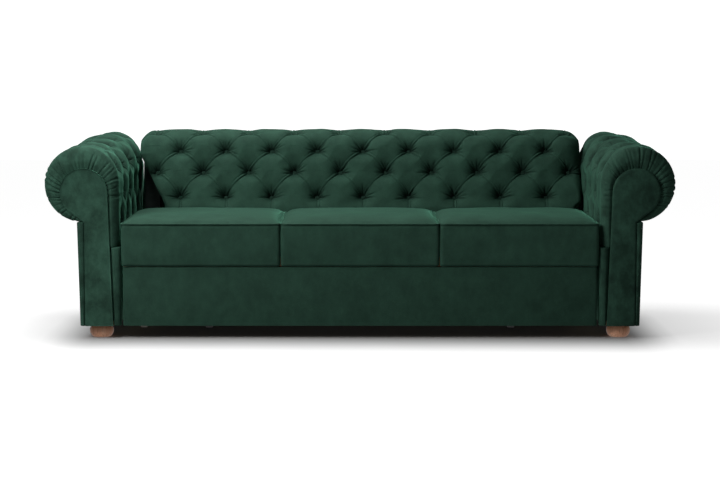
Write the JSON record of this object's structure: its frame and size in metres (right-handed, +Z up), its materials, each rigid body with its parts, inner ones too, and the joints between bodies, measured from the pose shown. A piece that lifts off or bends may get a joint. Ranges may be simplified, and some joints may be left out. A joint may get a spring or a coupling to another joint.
{
  "type": "sofa bed",
  "caption": "Rolled-arm tufted velvet sofa bed; the seat box slides forward, the back folds flat behind it and the seat lifts off a bedding box.",
  "frame": {"origin": "on the floor under the middle of the sofa", "axes": "+X to the right as seen from the front, -Y towards the front, +Z up"},
  "size_m": [2.4, 0.9, 0.7646],
  "materials": {
    "velvet": "bottle-green velvet, short nap",
    "turned_wood": "stained beech, satin lacquer",
    "plywood": "raw plywood",
    "softwood": "planed pine",
    "felt": "needled felt",
    "webbing": "woven elastic webbing",
    "tape": "woven tape",
    "spring_steel": "oiled spring wire",
    "nylon": "moulded nylon",
    "zinc_steel": "zinc plated",
    "plate_steel": "black powder coat"
  },
  "bodies": {
    "frame": {"arm_bottom_boards": "plywood", "arm_rails": "softwood", "cross_rail": "softwood", "foot_bolts": "zinc_steel", "front_left_foot": "turned_wood", "front_right_foot": "turned_wood", "guide_spacers": "zinc_steel", "left_arm_buttons": "velvet", "left_arm_facing": "velvet", "left_arm_front_board": "plywood", "left_arm_inner_panel": "velvet", "left_arm_outer_panel": "velvet", "left_arm_pad": "velvet", "left_arm_rear_board": "plywood", "left_arm_rear_facing": "velvet", "left_guide_plate": "plate_steel", "left_slide_track": "plate_steel", "rear_beam": "softwood", "rear_cover": "velvet", "rear_left_foot": "turned_wood", "rear_right_foot": "turned_wood", "right_arm_buttons": "velvet", "right_arm_facing": "velvet", "right_arm_front_board": "plywood", "right_arm_inner_panel": "velvet", "right_arm_outer_panel": "velvet", "right_arm_pad": "velvet", "right_arm_rear_board": "plywood", "right_arm_rear_facing": "velvet", "right_guide_plate": "plate_steel", "right_slide_track": "plate_steel"},
    "seat_box": {"box_bottom": "plywood", "box_front_board": "plywood", "box_rear_board": "plywood", "caster_brackets": "plate_steel", "front_panel": "velvet", "left_box_side": "plywood", "left_side_plate": "plate_steel", "pivot_pins": "zinc_steel", "pull_tab": "tape", "right_box_side": "plywood", "right_side_plate": "plate_steel", "wheel_axles": "zinc_steel"},
    "seat": {"left_seat_cushion": "velvet", "lift_plates": "plate_steel", "middle_seat_cushion": "velvet", "right_seat_cushion": "velvet", "seat_felt": "felt", "seat_frame": "softwood", "seat_springs": "spring_steel"},
    "backrest": {"back_buttons": "velvet", "back_frame": "softwood", "back_pad": "velvet", "back_plates": "plate_steel", "back_rear_panel": "velvet", "back_webbing": "webbing"},
    "left_caster": {"left_caster_wheel": "nylon"},
    "right_caster": {"right_caster_wheel": "nylon"},
    "left_roller": {"left_track_roller": "nylon"},
    "right_roller": {"right_track_roller": "nylon"}
  },
  "joints": [
    {"name": "seat_slide", "type": "slide", "parent": "frame", "child": "seat_box", "axis": [0, -1, 0], "range_m": [0, 0.25]},
    {"name": "back_fold", "type": "hinge", "parent": "seat_box", "child": "backrest", "pos_m": [0, 0.231, 0.34], "axis": [-1, 0, 0], "range_deg": [0, 78]},
    {"name": "seat_lift", "type": "hinge", "parent": "seat_box", "child": "seat", "pos_m": [0, 0.118, 0.424], "axis": [-1, 0, 0], "range_deg": [0, 45]},
    {"name": "left_caster_spin", "type": "hinge", "parent": "seat_box", "child": "left_caster", "pos_m": [-0.6, -0.12, 0.022], "axis": [1, 0, 0], "continuous": true},
    {"name": "right_caster_spin", "type": "hinge", "parent": "seat_box", "child": "right_caster", "pos_m": [0.6, -0.12, 0.022], "axis": [1, 0, 0], "continuous": true},
    {"name": "left_roller_spin", "type": "hinge", "parent": "seat_box", "child": "left_roller", "pos_m": [-0.915, 0.07, 0.1575], "axis": [1, 0, 0], "continuous": true},
    {"name": "right_roller_spin", "type": "hinge", "parent": "seat_box", "child": "right_roller", "pos_m": [0.915, 0.07, 0.1575], "axis": [1, 0, 0], "continuous": true}
  ],
  "couplings": [
    {"joint": "back_fold", "follows": "seat_slide", "rad_per_m": 5.4454},
    {"joint": "left_caster_spin", "follows": "seat_slide", "rad_per_m": 45.455},
    {"joint": "right_caster_spin", "follows": "seat_slide", "rad_per_m": 45.455},
    {"joint": "left_roller_spin", "follows": "seat_slide", "rad_per_m": 65.79},
    {"joint": "right_roller_spin", "follows": "seat_slide", "rad_per_m": 65.79}
  ]
}
